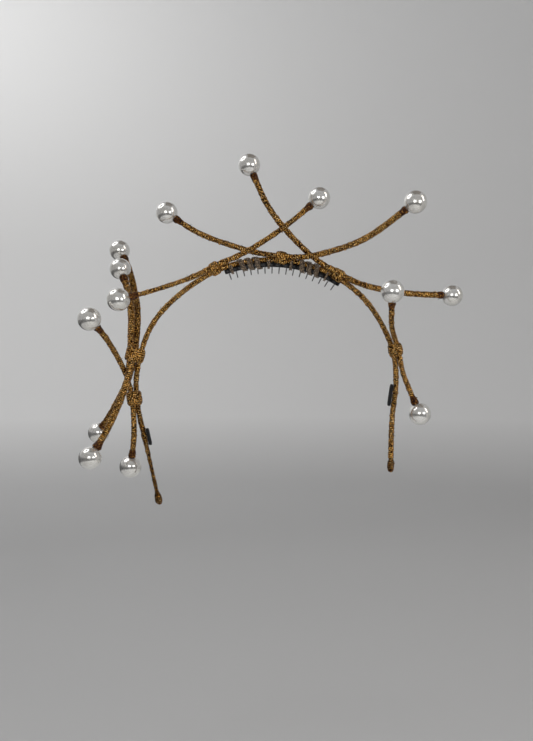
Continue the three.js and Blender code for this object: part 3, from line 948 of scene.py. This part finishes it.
def pearl(stem, end, cols=72, rows=44):
    """A drilled ball: (radius sin a, radius cos a) from the far pole to the hole's mouth,
    a softened lip, then down the hole."""
    centre, radius = balls[stem, end]
    line = stem_lines[stem]
    cord_end = line.at(0.0 if end == STEMS[stem][0] else line.length)
    away = unit(cord_end - centre)
    mouth = math.asin(HOLE / radius)
    a = np.linspace(math.pi - POLE, mouth + POLE, rows)
    lip = np.array([[HOLE, radius * math.cos(mouth) - LIP]])
    depth = np.linspace(radius - 5 * LIP, radius - DRILL_DEPTH, 5)
    bore = np.stack([np.full(5, HOLE * 0.97), depth], 1)
    profile = np.vstack([np.stack([radius * np.sin(a), radius * np.cos(a)], 1), lip, bore])
    angle = round_angles(cols).T
    sideways = unit(np.cross(away, UP + 0.3 * BACK))
    ring = np.cos(angle) * sideways + np.sin(angle) * np.cross(away, sideways)
    points = centre + profile[:, :1, None] * ring[None] + profile[:, 1:, None] * away
    name = f"{stem}_{end}"
    make_piece(f"pearl_bead_{name}", [skin(points)], nacre.material, [f"pearl_{name}"])


for stem, end in balls:
    pearl(stem, end)
print("pearls:", len(balls))

# %% [markdown]
# The comb is moulded in one piece of black plastic: a spine with rounded edges that follows
# the underside of the arch, and teeth that taper and bend back over the head. Only its
# front edge shows when it is worn, but it is seen from behind, above and below. Blocks with
# a Bevel modifier would do for a straight comb. This one bends with the arch, so its
# sections are carried along the arch's own line, which keeps it under the arch all the way.

# %% Black plastic
plastic = Recipe("black_comb_plastic")
scuff = plastic.noise(0.8, 4.0, 0.7, stretch=(1, 0.15, 1))
plastic.set(
    Base_Color=plastic.ramp(scuff, (0.35, (0.002, 0.002, 0.0022)), (0.75, (0.008, 0.008, 0.0085))),
    Roughness=plastic.spread(scuff, 0.3, 0.7, 0.14, 0.30),
    Specular_IOR_Level=0.14,
)
plastic.bump(plastic.noise(0.5, 3.0), 0.03, 0.5)
print("material:", plastic.material.name)

# %% Comb
TEETH = 16
SPINE_HEIGHT = 3.0 * MM
SPINE_DEPTH = 2.2 * MM
TOOTH_LENGTH = 32 * MM
TOOTH_ROOT = 1.5 * MM
TOOTH_TIP = 0.8 * MM
TOOTH_RISE = 0.14  # how steeply a tooth sets out
SCALP_RADIUS = 85 * MM
WAIST = 0.06  # how much thinner the spine is between two teeth, as moulded combs are
comb_points, _ = solid_of("comb")
spine_points = comb_points[np.abs(comb_points[:, 1]) < SPINE_DEPTH / 2 + 0.01 * MM]
spine_at = arch.nearest(spine_points)
comb_start, comb_stop = spine_at.min(), spine_at.max()
heights = ((spine_points - arch.at(spine_at)) * arch.axes(spine_at)[1]).sum(1)
spine_drop = -(heights.min() + SPINE_HEIGHT / 2)
tooth_pitch = (comb_stop - comb_start) / TEETH


def rounded_section(angle, wide, tall, power=5):
    """A box with rounded corners: (a sign(cos)|cos|^(2/power), b sign(sin)|sin|^(2/power))."""
    soft = lambda v: np.sign(v) * np.abs(v) ** (2 / power)
    return wide / 2 * soft(np.cos(angle)), tall / 2 * soft(np.sin(angle))


def spine_skin(rows=150, cols=32):
    """A rounded box section carried along the arch, at the spine's drop below it. It shrinks
    to three quarters over the last sixtieth at each end, as a root of the distance."""
    s = np.linspace(comb_start, comb_stop, rows)
    _, out, _ = arch.axes(s)
    a, b = rounded_section(round_angles(cols)[0], SPINE_HEIGHT, SPINE_DEPTH)
    squeeze = np.clip((0.5 - np.abs(np.linspace(-0.5, 0.5, rows))) * 60, 0, 1) ** 0.5
    squeeze = 0.75 + 0.25 * squeeze[:, None]
    waist = 1 - WAIST * np.cos(TURN * (s - comb_start) / tooth_pitch)[:, None]
    middle = arch.at(s) - spine_drop * out
    points = (middle[:, None] + (a * squeeze)[..., None] * out[:, None]
              - (b * squeeze * waist)[..., None] * BACK)
    return skin(points)


def tooth_skin(i, rows=30, cols=14):
    """A tooth runs back by s and rises by rise · s - s² / (2 · scalp radius)."""
    at = comb_start + (i + 0.5) * tooth_pitch
    _, out, _ = arch.axes(at)
    root = arch.at(at) - spine_drop * out
    s = np.linspace(0, TOOTH_LENGTH, rows)
    share = s / TOOTH_LENGTH
    middle = root + s[:, None] * BACK + (TOOTH_RISE * s - s**2 / (2 * SCALP_RADIUS))[:, None] * out
    across = np.cross(BACK, out)
    radius = (TOOTH_ROOT + (TOOTH_TIP - TOOTH_ROOT) * share) / 2
    radius = radius * np.sqrt(np.clip(1 - (share - 0.97).clip(0) ** 2 / 0.03**2 * 0.9, 0.05, 1))
    angle = round_angles(cols).T
    ring = 1.15 * np.cos(angle) * out + 0.9 * np.sin(angle) * across
    return skin(middle[:, None] + radius[:, None, None] * ring)


comb_skins = [spine_skin()] + [tooth_skin(i) for i in range(TEETH)]
make_piece("hair_comb", comb_skins, plastic.material, ["comb"])
print("comb", round((comb_stop - comb_start) / MM, 1), "mm long, drop", round(spine_drop / MM, 2))

# %% [markdown]
# The comb is sewn on with a dull grey-brown thread, several strands to each turn, going
# round the arch and the comb's spine between two teeth. A band with stripes could stand for
# it from afar. Here each strand is a tube of its own. It follows the same squared loop as
# in the CAD, a little further along than the one before, and no two are pulled quite alike.
# Single stitches between the other teeth hold the comb where no coil of lashing does. They
# leave out any place that a binding or a stem takes up.

# %% Lashing thread
twine = Recipe("lashing_thread")
twine_ply = twine.laid(0.0, 2.2)
fuzz = twine.noise(1.6, 3.0, 0.6)
twine_tone = twine.calc("MULTIPLY_ADD", twine_ply, 0.14, twine.spread(fuzz, 0.41, 0.60, 0.0, 0.95))
twine.set(
    Base_Color=twine.ramp(
        twine_tone,
        (0.05, (0.016, 0.009, 0.005)),
        (0.45, (0.125, 0.078, 0.044)),
        (0.90, (0.410, 0.300, 0.190)),
    ),
    Roughness=0.62,
    Sheen_Weight=0.3,
)
twine.bump(twine.calc("ADD", twine_ply, fuzz), 0.06, 0.9)
print("material:", twine.material.name)

# %% Strands and their loops
STRAND = 0.62 * MM
STRANDS = 5
STRAND_ROW = 0.42 * MM
COMB_GAP = 0.3 * MM  # between the arch's winding and the comb's spine
SLACK = 0.25 * MM  # between what is lashed and the strand


def loop_points(angle, s, clear, sink=0.0):
    """A squared loop round arch and spine, at the distances s along the arch.

    Up and down: middle + tall · sgn(sin)|sin|^0.6. Front to back: deep · sgn(cos)|cos|^0.6.
    tall and deep are half of what is lashed, plus clear; sink takes from deep only."""
    squared = lambda v: np.sign(v) * np.abs(v) ** 0.6
    tall = (thick["arch"] + COMB_GAP + SPINE_HEIGHT) / 2 + clear
    deep = thick["arch"] / 2 + clear - sink
    rise = thick["arch"] / 2 + clear - tall + tall * squared(np.sin(angle))
    _, out, _ = arch.axes(s)
    return arch.at(s) + rise[:, None] * out + (deep * squared(np.cos(angle)))[:, None] * BACK


def lashing_strand(start, turns, seed, offset):
    """Whole loops, moving on by one tooth for each turn."""
    t = np.linspace(0, 1, int(60 * turns))
    angle = TURN * turns * t
    s = start + offset + tooth_pitch * turns * t + 0.3 * MM * wobble(angle, seed)
    return loop_points(angle, s, SLACK + STRAND / 2 + 0.12 * MM * wobble(angle * 1.3, seed + 2))


def stitch(at, seed, offset):
    """Three sides of the same loop, sunk at both ends into the winding of the arch at half
    its height: angle from half a turn less 0.25 to a whole turn plus 0.25."""
    angle = np.linspace(math.pi - 0.25, TURN + 0.25, 48)
    end = np.abs(angle - 0.75 * TURN) / (math.pi / 2 + 0.25)
    s = at + offset + 0.35 * MM * wobble(angle, seed + 2)
    clear = SLACK + STRAND / 2 + 0.10 * MM * wobble(angle, seed)
    return loop_points(angle, s, clear, 0.55 * MM * end**8)


def strand_skin(points, cols=8):
    """A round tube along the points. Its rings turn with the direction to the middle of all
    the points, so they don't twist on their way round the loop."""
    strand = Line(points[::2])
    far = np.linspace(0, strand.length, int(strand.length / STRAND_ROW))
    along, _, _ = strand.axes(far)
    inward = unit(points.mean(0) - strand.at(far))
    aside = unit(np.cross(along, inward))
    lift = np.cross(aside, along)
    angle = round_angles(cols)[..., None]
    ring = np.cos(angle) * aside[:, None] + np.sin(angle) * lift[:, None]
    uv = (np.linspace(0, 2, cols + 1)[None, :], (far / MM)[:, None])
    return skin(strand.at(far)[:, None] + STRAND / 2 * ring, uv)


def reach_of(node):
    """Where a CAD node starts and stops, as distances along the arch."""
    far = arch.nearest(solid_of(node)[0])
    return far.min(), far.max()


print("strands of", STRAND / MM, "mm,", STRANDS, "to a turn")

# %% Stitches and lashings
SIDES = ("left", "right")
BERTH = 1.6 * MM  # kept between a stitch and a binding or a lashing
lashed = {side: reach_of(f"comb_lashing_{side}") for side in SIDES}
taken = [reach_of(f"binding_{name}") for name in BINDINGS] + list(lashed.values())


def room_at(points, at):
    """True where a stitch meets no binding, no coil of lashing and no stem."""
    if any(start - BERTH < at < stop + BERTH for start, stop in taken):
        return False
    return all(
        np.linalg.norm(line.points[None, ::3] - points[:, None], axis=2).min()
        >= 0.62 * thick[stem] + STRAND / 2
        for stem, line in stem_lines.items()
    )


stitches = {side: [] for side in SIDES}
for i in range(1, TEETH):
    at = comb_start + i * tooth_pitch
    side = "left" if at < arch.length / 2 else "right"
    for k in (-1, 0, 1):
        path = stitch(at, 170 + 3 * i + k, k * STRAND)
        if room_at(path, at + k * STRAND):
            stitches[side].append(strand_skin(path))
print("stitches:", {side: len(made) for side, made in stitches.items()})

for number, (side, (start, stop)) in enumerate(lashed.items()):
    start, stop = start + 0.2 * MM, stop - 0.2 * MM
    turns = round((stop - start) / tooth_pitch)
    offsets = (np.arange(STRANDS) - (STRANDS - 1) / 2) * STRAND
    strands = [
        strand_skin(lashing_strand(start, turns, 130 + 7 * number + k, offset))
        for k, offset in enumerate(offsets)
    ]
    name, node = f"comb_thread_{side}", f"comb_lashing_{side}"
    make_piece(name, strands + stitches[side], twine.material, [node])
    print(side, "lashing:", turns, "turns of", STRANDS, "strands")

# %% [markdown]
# Against the inside of each arm is a short flat loop of black elastic, through which a hair
# grip can be pushed. A flattened torus would be oval. This is a woven band carried once
# round a slot with straight sides: a rounded flat section, with its ribs in the material,
# because they are six tenths of a millimetre apart and hardly stand out.

# %% Elastic
elastic = Recipe("black_elastic")
ribs = elastic.laid(0.0, 1.6)
picks = elastic.laid(1.3, 0.0)
weave = elastic.calc("MULTIPLY_ADD", picks, 0.35, ribs)
elastic.set(
    Base_Color=elastic.ramp(
        elastic.spread(weave, -1.35, 1.35),
        (0.1, (0.004, 0.004, 0.0045)),
        (0.9, (0.026, 0.026, 0.028)),
    ),
    Roughness=0.75,
    Specular_IOR_Level=0.15,
    Sheen_Weight=0.06,
)
elastic.bump(weave, 0.05, 0.8)
print("material:", elastic.material.name)


# %% Grip loops
SLOT_WIDTH = 1.8 * MM


def stadium(straight, radius, rows):
    """Two straights joined by half circles. On a straight a point is (u - straight,
    -radius), facing (0, -1); on a half circle it is (straight + radius sin b, -radius cos b),
    facing (sin b, -cos b). The second half is the first turned half round.
    Gives the distance along the line, x and y of the points, and x and y of their facing."""
    half = 2 * straight + math.pi * radius
    far = np.linspace(0, 2 * half, rows, endpoint=False)
    u = np.where(far >= half, far - half, far)
    bend = np.clip((u - 2 * straight) / radius, 0, math.pi)
    facing = np.stack([np.sin(bend), -np.cos(bend)])
    middle = np.stack([np.minimum(u - straight, straight), np.zeros(rows)])
    flip = np.where(far >= half, -1, 1)
    return far, (middle + radius * facing) * flip, facing * flip


def grip_loop(side, rows=96, cols=20):
    """A flat rounded section carried round a stadium, lying in the CAD loop's own plane."""
    points, _ = solid_of(f"grip_loop_{side}")
    middle = points.mean(0)
    along, out, _ = arch.axes(arch.nearest(middle))
    across = np.cross(out, along)
    plane = np.stack([along, across])
    length, width, deep = (np.ptp((points - middle) @ v) for v in (along, across, out))
    band = (width - SLOT_WIDTH) / 2
    far, path, facing = stadium((length - width) / 2, (width - band) / 2, rows)
    a, b = rounded_section(round_angles(cols)[0], band, deep, 3.5)
    b = b[None, :] * (1 + 0.05 * wobble(far / (1.5 * MM), 7)[:, None])
    outward = (facing.T @ plane)[:, None]
    xyz = (middle + path.T @ plane)[:, None] + a[None, :, None] * outward + b[..., None] * out
    uv = (np.linspace(0, 6, cols + 1)[None, :], (far / MM)[:, None])
    loop = skin(xyz, uv, ring=True)
    name, node = f"grip_elastic_{side}", f"grip_loop_{side}"
    make_piece(name, [loop], elastic.material, [node])
    print(side, "loop", round(length / MM, 1), "x", round(width / MM, 1), "mm")


for side in SIDES:
    grip_loop(side)

# %% [markdown]
# The bare wires run inside the cords, where nothing shows but the last bit in a pearl's
# hole. Their CAD solids are right as they are, and only need the look of drawn steel.

# %% Wires
steel = Recipe("drawn_steel")
drawn = steel.noise(1.5, 4.0, 0.7, stretch=(1, 1, 0.1))
steel.set(
    Base_Color=steel.ramp(drawn, (0.3, (0.36, 0.36, 0.37)), (0.7, (0.56, 0.56, 0.57))),
    Metallic=1.0,
    Roughness=steel.spread(drawn, 0.3, 0.7, 0.25, 0.42),
)
steel.bump(drawn, 0.01, 0.5)
for node in ["band_wire"] + [f"stem_wire_{stem}" for stem in STEMS]:
    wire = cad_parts[node]
    wire.data.materials.clear()
    wire.data.materials.append(steel.material)
print("wires:", 1 + len(STEMS))

# %% Triangle count
print("triangles:", sum(counts.values()))
